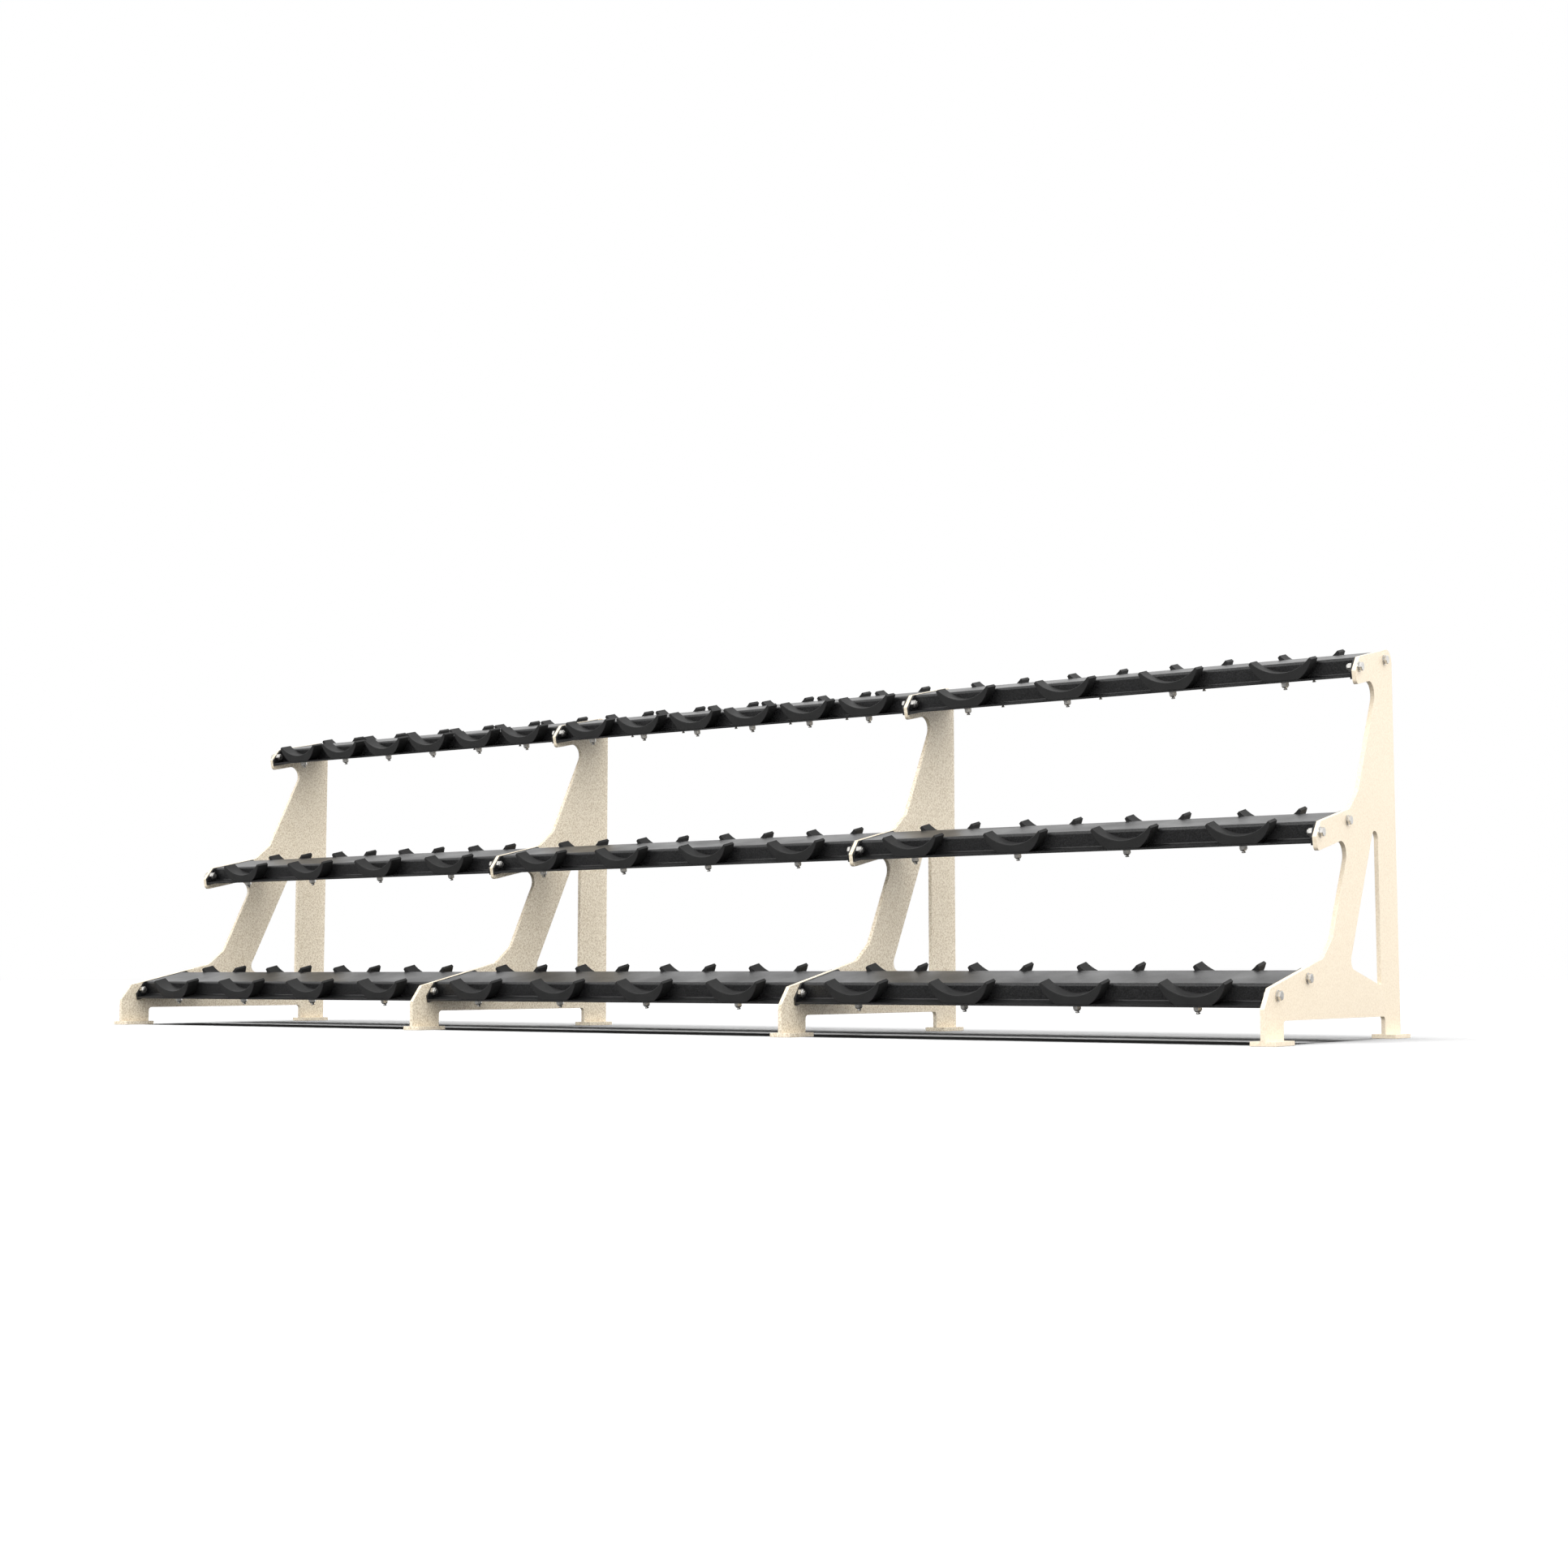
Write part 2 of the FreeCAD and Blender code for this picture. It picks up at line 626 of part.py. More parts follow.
def nut(doc, name, flats, bore_radius, height, collar):
    """Lock nut on the XY plane, a crowned hexagon with its locking ring's collar on top."""
    block = hexagon(doc, f"{name}_block", flats, height, "0")
    crowned = dome(doc, f"{name}_crown", block, flats, height, "0")
    foot = f"{flats} / 2 * Sizes.collar_foot"
    ring = cone(doc, f"{name}_collar", foot, f"{bore_radius} * Sizes.collar_rim", collar, height)
    whole = doc.addObject("Part::Fuse", f"{name}_whole")
    whole.Base = crowned
    whole.Tool = ring
    bore = rod(doc, f"{name}_bore", bore_radius, f"{height} + {collar}", "0")
    piece = doc.addObject("Part::Cut", name)
    piece.Base = whole
    piece.Tool = bore
    return piece


def point(doc, name, shank):
    """Chamfer the top end of a rod, where its thread starts."""
    chamfer = doc.addObject("Part::Chamfer", name)
    chamfer.Base = shank
    doc.recompute()
    top = shank.Shape.BoundBox.ZMax
    size = doc.Sizes.get("point_chamfer")
    circles = edges_where(shank.Shape, lambda place: abs(place.z - top) < 0.01)
    chamfer.Edges = [(int(circle[4:]), size, size) for circle in circles]
    return chamfer


def bolt(doc, name, grip):
    """Hexagon bolt whose head sits under the XY plane and whose shank points up."""
    block = hexagon(doc, f"{name}_block", "Sizes.bolt_flats", "Sizes.bolt_head", "0")
    head = dome(doc, f"{name}_head", block, "Sizes.bolt_flats", "Sizes.bolt_head", "0")
    head.Placement.Rotation = Rotation(Vector(1, 0, 0), 180)
    length = f"{grip} + Sizes.bolt_nut + Sizes.bolt_nut_collar + Sizes.bolt_end"
    shank = point(doc, f"{name}_point", rod(doc, f"{name}_shank", "Sizes.bolt_radius", length, "0"))
    piece = doc.addObject("Part::Fuse", name)
    piece.Base = head
    piece.Tool = shank
    return piece


def group_links(doc, label, pattern_places):
    """Group placed copies of pattern pieces, as one sub-part of separate solids."""
    links = []
    for number, (pattern, place) in enumerate(pattern_places, start=1):
        link = doc.addObject("App::Link", f"{label}_{number}")
        link.LinkedObject = pattern
        link.LinkTransform = False
        link.Placement = place
        links.append(link)
    group = doc.addObject("Part::Compound", label)
    group.Links = links
    return group


def tier_place(sheet, tier, x, u=0, v=0, turn=Rotation()):
    """Placement at (x, u, v) of a tier's frame, after a turn within that frame."""
    y, z = tier_point(sheet, tier, u, v)
    tilt = Rotation(Vector(1, 0, 0), sheet.get("arm_tilt"))
    return Placement(Vector(x, y, z), tilt.multiply(turn))


def saddle_places(sheet, bay, count):
    """Places along X of one bay's saddles."""
    pitch = sheet.get("saddle_run") / count
    middle = (bay - 1) * sheet.get("bay_pitch")
    return [middle + (number - (count - 1) / 2) * pitch for number in range(count)]


def make_tier_groups(doc, sheet, patterns):
    """End plates of each shelf, and its front and rear rows of saddles."""
    groups = []
    half = sheet.get("bay_pitch") / 2 - sheet.get("plate") / 2 - sheet.get("end_plate") / 2
    webs = {
        "front": sheet.get("web_front") - sheet.get("saddle_gap"),
        "rear": sheet.get("web_rear") + sheet.get("saddle_gap"),
    }
    for tier in TIERS:
        for bay, bay_name in enumerate(BAYS):
            middle = (bay - 1) * sheet.get("bay_pitch")
            ends = [
                (patterns["end_plate"], tier_place(sheet, tier, middle + way * half))
                for way in (-1, 1)
            ]
            groups.append(group_links(doc, f"end_plates_{tier}_{bay_name}", ends))
            for side, web in webs.items():
                row = [
                    (patterns[f"saddle_{side}"], tier_place(sheet, tier, x, web))
                    for x in saddle_places(sheet, bay, SADDLE_COUNTS[tier][bay])
                ]
                groups.append(group_links(doc, f"saddles_{side}_{tier}_{bay_name}", row))
    return groups


def make_stud_groups(doc, sheet, patterns):
    """Studs, washers and nuts that hold the saddles on the flanges."""
    under = -sheet.get("flange_drop") - sheet.get("sheet")
    seats = {
        "saddle_studs": -sheet.get("flange_drop") + sheet.get("stud_embed"),
        "saddle_washers": under,
        "saddle_nuts": under - sheet.get("stud_washer"),
    }
    upside_down = Rotation(Vector(1, 0, 0), 180)
    groups = []
    for label, v in seats.items():
        places = []
        for tier in TIERS:
            for bay in range(len(BAYS)):
                for x in saddle_places(sheet, bay, SADDLE_COUNTS[tier][bay]):
                    for u in (sheet.get("stud_front"), sheet.get("stud_rear")):
                        place = tier_place(sheet, tier, x, u, v, upside_down)
                        places.append((patterns[label], place))
        groups.append(group_links(doc, label, places))
    return groups


def make_frame_fasteners(doc, sheet, patterns):
    """Bolts, washers and nuts that hold the end plates to the uprights."""
    half_plate = sheet.get("plate") / 2
    end = sheet.get("end_plate")
    washer_thickness = sheet.get("bolt_washer")
    level = Rotation(Vector(0, 0, 1), sheet.get("bolt_turn"))
    places = {"frame_bolts": [], "frame_washers": [], "frame_nuts": []}
    for index in range(len(UPRIGHTS)):
        x = (index - 1.5) * sheet.get("bay_pitch")
        last = index == len(UPRIGHTS) - 1
        outer = index == 0 or last
        way = -1 if last else 1
        turn = Rotation(Vector(0, 1, 0), 90 * way).multiply(level)
        seat = half_plate + washer_thickness if outer else half_plate + end
        pattern = patterns["end_bolt" if outer else "inner_bolt"]
        for tier in TIERS:
            for u in (0, sheet.get("bolt_spacing")):
                head = tier_place(sheet, tier, x - way * seat, u, 0, turn)
                clamp = tier_place(sheet, tier, x + way * (half_plate + end), u, 0, turn)
                places["frame_bolts"].append((pattern, head))
                places["frame_nuts"].append((patterns["frame_nut"], clamp))
                if outer:
                    places["frame_washers"].append((patterns["frame_washer"], head))
    return [group_links(doc, label, group) for label, group in places.items()]


def make_patterns(doc, sheet):
    """Pattern pieces that the groups repeat."""
    stud_length = "Sizes.stud_end - Sizes.flange_drop + Sizes.stud_embed"
    stud = rod(doc, "saddle_stud_rod", "Sizes.stud_radius", stud_length, "0")
    return {
        "end_plate": make_end_plate(doc, sheet),
        "saddle_front": make_saddle(doc, sheet, "front"),
        "saddle_rear": make_saddle(doc, sheet, "rear"),
        "saddle_studs": point(doc, "saddle_stud_pattern", stud),
        "saddle_washers": washer(
            doc, "saddle_washer_pattern", "Sizes.stud_washer_radius", "Sizes.stud_radius",
            "Sizes.stud_washer",
        ),
        "saddle_nuts": nut(
            doc, "saddle_nut_pattern", "Sizes.stud_nut_flats", "Sizes.stud_radius",
            "Sizes.stud_nut", "Sizes.stud_nut_collar",
        ),
        "end_bolt": bolt(doc, "end_bolt_pattern", "Sizes.plate + Sizes.end_plate"),
        "inner_bolt": bolt(doc, "inner_bolt_pattern", "Sizes.plate + 2 * Sizes.end_plate"),
        "frame_washer": washer(
            doc, "frame_washer_pattern", "Sizes.bolt_washer_radius", "Sizes.bolt_radius",
            "Sizes.bolt_washer",
        ),
        "frame_nut": nut(
            doc, "frame_nut_pattern", "Sizes.bolt_flats", "Sizes.bolt_radius", "Sizes.bolt_nut",
            "Sizes.bolt_nut_collar",
        ),
    }


def check_objects(doc):
    """Stop if any object of the document failed to compute."""
    for item in doc.Objects:
        if "Invalid" in item.State or "Error" in item.State:
            raise RuntimeError(f"{item.Label} failed: {item.State}")


def write_parts(parts):
    """Check each sub-part's shape and write it to its own file."""
    os.makedirs("parts", exist_ok=True)
    for part in parts:
        shape = part.Shape
        if shape.isNull() or not shape.isValid() or not shape.Solids:
            raise RuntimeError(f"{part.Label} has no valid solid")
        print(f"{part.Label}: {len(shape.Solids)} solids, {shape.Volume / 1000:.1f} cm3")
        shape.exportStep(f"parts/{part.Label}.step")


def main():
    """Build the rack and write its sub-parts."""
    doc = FreeCAD.newDocument("DumbbellRack")
    sheet = fill_sheet(doc)
    patterns = make_patterns(doc, sheet)
    parts = [make_upright(doc, sheet, index) for index in range(len(UPRIGHTS))]
    for index in range(len(UPRIGHTS)):
        parts += [make_foot(doc, index, side) for side in ("front", "rear")]
    for tier in TIERS:
        parts += [make_shelf(doc, sheet, tier, bay) for bay in range(len(BAYS))]
    parts += make_tier_groups(doc, sheet, patterns)
    parts += make_stud_groups(doc, sheet, patterns)
    parts += make_frame_fasteners(doc, sheet, patterns)
    doc.recompute()
    check_objects(doc)
    write_parts(parts)


main()
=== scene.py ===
import logging
import math
from dataclasses import dataclass
from enum import Enum
from typing import Any, Iterable, Mapping

import bmesh
import bpy
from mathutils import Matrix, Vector


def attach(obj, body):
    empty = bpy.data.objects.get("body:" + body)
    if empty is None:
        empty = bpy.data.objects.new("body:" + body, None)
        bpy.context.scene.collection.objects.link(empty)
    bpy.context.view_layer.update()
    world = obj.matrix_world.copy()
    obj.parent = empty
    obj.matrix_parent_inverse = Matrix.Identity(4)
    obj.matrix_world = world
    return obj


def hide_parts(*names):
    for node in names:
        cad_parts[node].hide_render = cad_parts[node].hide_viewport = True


# Three-bay dumbbell rack: four ivory plate uprights, nine black folded shelves, eighty moulded
# saddles and their zinc-plated fasteners. Each CAD node is dressed by a piece that takes its
# shape, rounds its edges and gives it the finish of the real one. The bolts and studs also get
# thread rings, which narrow towards the shank where real ones keep one size.

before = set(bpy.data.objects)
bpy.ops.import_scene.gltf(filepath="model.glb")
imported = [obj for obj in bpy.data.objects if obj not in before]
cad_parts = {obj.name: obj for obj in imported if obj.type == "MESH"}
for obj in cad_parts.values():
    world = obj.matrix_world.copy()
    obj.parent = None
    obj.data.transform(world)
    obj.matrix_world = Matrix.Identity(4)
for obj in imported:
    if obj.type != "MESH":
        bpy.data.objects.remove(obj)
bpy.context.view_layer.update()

LOG = logging.getLogger("dumbbell_rack")

BODY = "root"
MERGE_DISTANCE = 2e-6
CUT_DISTANCE = 1e-7
NORMAL_WEIGHT = 80
FLAT_ANGLE = math.radians(0.4)
NOISE_TURN = (0.61, 0.37, 0.83)
# Share of grain in the lit copy of the frame coat, which paints the glare of a lamp on it.
PAINTED_GLARE_GRAIN = 0.20
TIER_TILT = math.radians(12)


def mm(value: float) -> float:
    """Millimetres as Blender metres."""
    return value / 1000.0


def linear(code: str) -> tuple[float, float, float, float]:
    """Turn an sRGB hex colour into linear red, green, blue and alpha.

    Args:
        code: Six hex digits, with or without a leading hash.

    Returns:
        The colour as Blender's sockets take it.
    """
    digits = code.lstrip("#")
    channels = [int(digits[place:place + 2], 16) / 255.0 for place in (0, 2, 4)]
    low, power = 0.04045, 2.4
    curve = [c / 12.92 if c <= low else ((c + 0.055) / 1.055) ** power for c in channels]
    return (curve[0], curve[1], curve[2], 1.0)


def add_node(
    tree: bpy.types.NodeTree,
    kind: str,
    settings: Mapping[str, Any] | None = None,
    links: Mapping[str, bpy.types.NodeSocket] | None = None,
) -> bpy.types.Node:
    """Add a node, set it up and link its inputs.

    Args:
        tree: The node tree to add to.
        kind: The node's type name.
        settings: Values by property name, or by input name where the node has no such property.
        links: Output sockets by the name or number of the input that each one feeds.

    Returns:
        The new node.
    """
    node = tree.nodes.new(kind)
    for name, value in (settings or {}).items():
        if isinstance(name, str) and hasattr(node, name):
            setattr(node, name, value)
        else:
            node.inputs[name].default_value = value
    for name, socket in (links or {}).items():
        tree.links.new(socket, node.inputs[name])
    return node


class Slot(Enum):
    """The record's material slots."""

    FRAME = "frame_paint"
    SHELF = "shelf_paint"
    SADDLE = "saddle_polymer"
    ZINC = "zinc_plate"


class Tier(Enum):
    """Heights of the shelves."""

    BOTTOM = "bottom"
    MIDDLE = "middle"
    TOP = "top"


class Bay(Enum):
    """Places between two uprights."""

    LEFT = "left"
    CENTRE = "centre"
    RIGHT = "right"


class Station(Enum):
    """Places of the uprights along the rack."""

    LEFT_END = "left_end"
    LEFT_INNER = "left_inner"
    RIGHT_INNER = "right_inner"
    RIGHT_END = "right_end"


class Side(Enum):
    """Front or rear of the rack."""

    FRONT = "front"
    REAR = "rear"


# ---------------------------------------------------------------------------------- finishes


@dataclass(frozen=True)
class PowderCoat:
    """Smooth polyester powder coat, electrostatically sprayed and baked on steel plate.

    It melts into a faint orange peel, keeps a satin gloss and lets the pigment's grain show.
    A lower share of grain makes a lit copy of the coat: painted glare on a plate that a lamp shines
    straight on, where the grain would be lost.
    """

    name: str = "ivory_powder_coat"
    body: str = "F9E9D0"
    dark_grain: str = "BCAA8A"
    light_grain: str = "FFF7E4"
    worn_and_highlight: str = "FFF6E2"
    roughness: float = 0.46
    peel_mm: float = 2.6
    grain_mm: float = 4.2
    grain_shown: float = 0.62
    grain_band: tuple[float, float] = (0.36, 0.60)
    cloud_mm: float = 260.0
    edge_mm: float = 1.4
    bump_mm: float = 0.035
    bump_strength: float = 0.55
    clear_weight: float = 0.06
    clear_roughness: float = 0.25

    def build(self) -> bpy.types.Material:
        """Make the material."""
        material, tree, out = new_material(self.name)
        coords = add_node(tree, "ShaderNodeTexCoord").outputs["Object"]
        grain = noise(tree, coords, self.grain_mm, detail=2.0)
        peel = noise(tree, coords, self.peel_mm, detail=1.0)
        cloud = noise(tree, coords, self.cloud_mm, detail=3.0)
        low, high = self.grain_band
        stops = ((low, linear(self.dark_grain)), (high, linear(self.light_grain)))
        speckle = ramp(tree, grain, stops)
        body = add_node(tree, "ShaderNodeRGB")
        body.outputs[0].default_value = linear(self.body)
        grained = mix(tree, "MIX", self.grain_shown, body.outputs[0], speckle)
        tint = ramp(tree, cloud, ((0.35, (0.975, 0.972, 0.965, 1)), (0.65, (1, 1, 1, 1))))
        toned = mix(tree, "MULTIPLY", 1.0, grained, tint)
        # Edges lightened towards a paler cream: rubbed coating, and a painted highlight along the
        # edges.
        edges = edge_wear_and_highlight_mask(tree, self.edge_mm)
        colour = mix(tree, "MIX", edges, toned, linear(self.worn_and_highlight))
        gloss = spread(tree, peel, self.roughness - 0.05, self.roughness + 0.08)
        bump = add_node(
            tree,
            "ShaderNodeBump",
            {"Strength": self.bump_strength, "Distance": mm(self.bump_mm)},
            {"Height": peel},
        )
        shader = add_node(
            tree,
            "ShaderNodeBsdfPrincipled",
            {
                "IOR": 1.5,
                "Coat Weight": self.clear_weight,
                "Coat Roughness": self.clear_roughness,
            },
            {"Base Color": colour, "Roughness": gloss, "Normal": bump.outputs[0]},
        )
        tree.links.new(shader.outputs[0], out.inputs["Surface"])
        return material


@dataclass(frozen=True)
class TexturedPowderCoat:
    """Fine-textured black powder coat on folded sheet.

    The powder shrinks into close, hard grains as it cures. They scatter the light, so the paint is
    deep black seen square on and silvery with bright specks seen along the sheet.
    """

    name: str = "black_textured_powder_coat"
    body: str = "0B0B0C"
    crest: str = "323233"
    rubbed_and_highlight: str = "5A5A5A"
    roughness: float = 0.34
    grain_mm: float = 3.0
    cloud_mm: float = 140.0
    edge_mm: float = 1.2
    bump_mm: float = 0.16
    bump_strength: float = 0.8

    def build(self) -> bpy.types.Material:
        """Make the material."""
        material, tree, out = new_material(self.name)
        coords = add_node(tree, "ShaderNodeTexCoord").outputs["Object"]
        grain = noise(tree, coords, self.grain_mm, detail=2.5)
        cloud = noise(tree, coords, self.cloud_mm, detail=4.0)
        body = ramp(tree, grain, ((0.40, linear(self.body)), (0.70, linear(self.crest))))
        tint = ramp(tree, cloud, ((0.3, (0.86, 0.86, 0.86, 1)), (0.7, (1, 1, 1, 1))))
        toned = mix(tree, "MULTIPLY", 1.0, body, tint)
        # Edges lightened towards grey: rubbed coating, and a painted highlight along the edges.
        edges = edge_wear_and_highlight_mask(tree, self.edge_mm)
        colour = mix(tree, "MIX", edges, toned, linear(self.rubbed_and_highlight))
        gloss = spread(tree, cloud, self.roughness - 0.05, self.roughness + 0.08)
        bump = add_node(
            tree,
            "ShaderNodeBump",
            {"Strength": self.bump_strength, "Distance": mm(self.bump_mm)},
            {"Height": grain},
        )
        shader = add_node(
            tree,
            "ShaderNodeBsdfPrincipled",
            {"IOR": 1.52},
            {"Base Color": colour, "Roughness": gloss, "Normal": bump.outputs[0]},
        )
        tree.links.new(shader.outputs[0], out.inputs["Surface"])
        return material


@dataclass(frozen=True)
class MouldedPolymer:
    """Matte black moulded polymer of the saddles.

    The mould is spark-eroded, so the skin is even and matte.
    """

    name: str = "moulded_black_polymer"
    body: str = "181818"
    bloom: str = "202020"
    roughness: float = 0.62
    grain_mm: float = 0.9
    cloud_mm: float = 35.0
    bump_mm: float = 0.03
    bump_strength: float = 0.4

    def build(self) -> bpy.types.Material:
        """Make the material."""
        material, tree, out = new_material(self.name)
        coords = add_node(tree, "ShaderNodeTexCoord").outputs["Object"]
        grain = noise(tree, coords, self.grain_mm, detail=1.0)
        cloud = noise(tree, coords, self.cloud_mm, detail=3.0)
        colour = ramp(tree, cloud, ((0.35, linear(self.body)), (0.68, linear(self.bloom))))
        gloss = spread(tree, cloud, self.roughness - 0.08, self.roughness + 0.06)
        bump = add_node(
            tree,
            "ShaderNodeBump",
            {"Strength": self.bump_strength, "Distance": mm(self.bump_mm)},
            {"Height": grain},
        )
        shader = add_node(
            tree,
            "ShaderNodeBsdfPrincipled",
            {"IOR": 1.49},
            {"Base Color": colour, "Roughness": gloss, "Normal": bump.outputs[0]},
        )
        tree.links.new(shader.outputs[0], out.inputs["Surface"])
        return material


@dataclass(frozen=True)
class ZincPlate:
    """Bright zinc electroplate on steel fasteners, with faint clouding from its passivation."""

    name: str = "zinc_plated_steel"
    body: str = "E2E0DC"
    cloud: str = "C6C4C0"
    roughness: float = 0.30
    cloud_mm: float = 7.0
    scratch_mm: float = 0.5
    bump_mm: float = 0.03
    bump_strength: float = 0.25

    def build(self) -> bpy.types.Material:
        """Make the material."""
        material, tree, out = new_material(self.name)
        coords = add_node(tree, "ShaderNodeTexCoord").outputs["Object"]
        clouds = noise(tree, coords, self.cloud_mm, detail=3.0)
        fine = noise(tree, coords, self.scratch_mm, detail=1.0)
        colour = ramp(tree, clouds, ((0.35, linear(self.cloud)), (0.65, linear(self.body))))
        gloss = spread(tree, clouds, self.roughness - 0.06, self.roughness + 0.12)
        bump = add_node(
            tree,
            "ShaderNodeBump",
            {"Strength": self.bump_strength, "Distance": mm(self.bump_mm)},
            {"Height": fine},
        )
        shader = add_node(
            tree,
            "ShaderNodeBsdfPrincipled",
            {"Metallic": 1.0},
            {"Base Color": colour, "Roughness": gloss, "Normal": bump.outputs[0]},
        )
        tree.links.new(shader.outputs[0], out.inputs["Surface"])
        return material


@dataclass(frozen=True)
class StudioFloor:
    """Matte sweep that looks white under its own strong light but is dark in itself.

    It shows the camera a little more of that light than it throws back up at the rack.
    """

    name: str = "white_sweep"
    seen: float = 0.031
    returned: float = 0.008

    def build(self) -> bpy.types.Material:
        """Make the material."""
        material, tree, out = new_material(self.name)
        seen = add_node(tree, "ShaderNodeLightPath").outputs["Is Camera Ray"]
        settings = {"To Min": self.returned, "To Max": self.seen}
        tone = add_node(tree, "ShaderNodeMapRange", settings, {"Value": seen}).outputs[0]
        shader = add_node(
            tree, "ShaderNodeBsdfDiffuse", {"Roughness": 0.0}, {"Color": tone}
        )
        tree.links.new(shader.outputs[0], out.inputs["Surface"])
        return material


def new_material(name: str) -> tuple[bpy.types.Material, bpy.types.NodeTree, bpy.types.Node]:
    """Start a node material.

    Args:
        name: The material's name.

    Returns:
        The material, its node tree and its output node.
    """
    material = bpy.data.materials.new(name)
    material.use_nodes = True
    tree = material.node_tree
    tree.nodes.clear()
    return material, tree, add_node(tree, "ShaderNodeOutputMaterial")


def noise(
    tree: bpy.types.NodeTree, coords: bpy.types.NodeSocket, feature_mm: float, detail: float
) -> bpy.types.NodeSocket:
    """Noise whose blobs are about as wide as a real feature.

    It is turned, so that no flat face runs along its lattice and loses its contrast.

    Args:
        tree: The material's node tree.
        coords: Object coordinates.
        feature_mm: Width of one blob.
        detail: Octaves of finer noise.

    Returns:
        The noise's value, from 0 to 1.
    """
    turned = add_node(tree, "ShaderNodeMapping", {"Rotation": NOISE_TURN}, {"Vector": coords})
    settings = {"Scale": 1.0 / mm(feature_mm), "Detail": detail, "Roughness": 0.55}
    return add_node(tree, "ShaderNodeTexNoise", settings, {"Vector": turned.outputs[0]}).outputs[0]


def ramp(
    tree: bpy.types.NodeTree,
    value: bpy.types.NodeSocket,
    stops: Iterable[tuple[float, tuple[float, float, float, float]]],
) -> bpy.types.NodeSocket:
    """Colour ramp over a value.

    Args:
        tree: The material's node tree.
        value: The value to colour.
        stops: Two places from 0 to 1, each with its linear colour.

    Returns:
        The ramp's colour.
    """
    node = add_node(tree, "ShaderNodeValToRGB", None, {"Fac": value})
    for element, (place, colour) in zip(node.color_ramp.elements, stops):
        element.position = place
        element.color = colour
    return node.outputs["Color"]


def mix(
    tree: bpy.types.NodeTree,
    blend: str,
    amount: float | bpy.types.NodeSocket,
    under: bpy.types.NodeSocket,
    over: bpy.types.NodeSocket | tuple[float, float, float, float],
) -> bpy.types.NodeSocket:
    """Mix two colours.

    Args:
        tree: The material's node tree.
        blend: The blend type.
        amount: How much of the second colour, as a number or a socket.
        under: The first colour.
        over: The second colour, as a socket or a linear colour.

    Returns:
        The mixed colour.
    """
    node = add_node(tree, "ShaderNodeMix", {"data_type": "RGBA", "blend_type": blend})
    factor, first, second = node.inputs[0], node.inputs[6], node.inputs[7]
    tree.links.new(under, first)
    for value, socket in ((amount, factor), (over, second)):
        if isinstance(value, bpy.types.NodeSocket):
            tree.links.new(value, socket)
        else:
            socket.default_value = value
    return node.outputs[2]


def spread(
    tree: bpy.types.NodeTree, value: bpy.types.NodeSocket, low: float, high: float
) -> bpy.types.NodeSocket:
    """Spread a noise value over a range.

    Args:
        tree: The material's node tree.
        value: A value that is mostly between 0.3 and 0.7.
        low: The result at 0.3.
        high: The result at 0.7.

    Returns:
        The value in its new range.
    """
    settings = {"From Min": 0.3, "From Max": 0.7, "To Min": low, "To Max": high}
    return add_node(tree, "ShaderNodeMapRange", settings, {"Value": value}).outputs[0]


def edge_wear_and_highlight_mask(tree: bpy.types.NodeTree, width_mm: float) -> bpy.types.NodeSocket:
    """Mask of the strip beside each edge, where a coating is thin and rubbed, and where a painted
    highlight lightens it.

    Args:
        tree: The material's node tree.
        width_mm: Width of the strip.

    Returns:
        0 on the flats, rising to about 0.5 on the edges.
    """
    turned = add_node(tree, "ShaderNodeBevel", {"samples": 4, "Radius": mm(width_mm)})
    plain = add_node(tree, "ShaderNodeNewGeometry").outputs["Normal"]
    likeness = add_node(
        tree,
        "ShaderNodeVectorMath",
        {"operation": "DOT_PRODUCT"},
        {0: turned.outputs[0], 1: plain},
    ).outputs["Value"]
    settings = {"From Min": 0.995, "From Max": 0.80, "To Min": 0.0, "To Max": 0.5}
    return add_node(tree, "ShaderNodeMapRange", settings, {"Value": likeness}).outputs[0]


# ------------------------------------------------------------------------------------ shapes


@dataclass(frozen=True)
class Softening:
    """How a piece's sharp edges are rounded."""

    width_mm: float
    segments: int = 2
    sharpest_deg: float = 28.0


def merged_copy(node: str) -> bmesh.types.BMesh:
    """Copy a CAD node's loose triangles into one merged mesh with whole flat faces.

    Args:
        node: The CAD node's name.

    Returns:
        The merged mesh.
    """
    mesh = bmesh.new()
    mesh.from_mesh(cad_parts[node].data)
    bmesh.ops.remove_doubles(mesh, verts=mesh.verts, dist=MERGE_DISTANCE)
    bmesh.ops.dissolve_limit(
        mesh,
        angle_limit=FLAT_ANGLE,
        use_dissolve_boundaries=False,
        verts=mesh.verts,
        edges=mesh.edges,
        delimit={"NORMAL"},
    )
    return mesh


def soften(mesh: bmesh.types.BMesh, softening: Softening) -> None:
    """Round every edge that is sharper than the softening's angle.

    Args:
        mesh: The mesh to change.
        softening: Width, segments and angle.
    """
    limit = math.radians(softening.sharpest_deg)
    edges = [e for e in mesh.edges if len(e.link_faces) == 2 and e.calc_face_angle() > limit]
    bmesh.ops.bevel(
        mesh,
        geom=edges,
        offset=mm(softening.width_mm),
        offset_type="OFFSET",
        affect="EDGES",
        segments=softening.segments,
        profile=0.5,
        clamp_overlap=True,
        loop_slide=True,
        material=-1,
    )


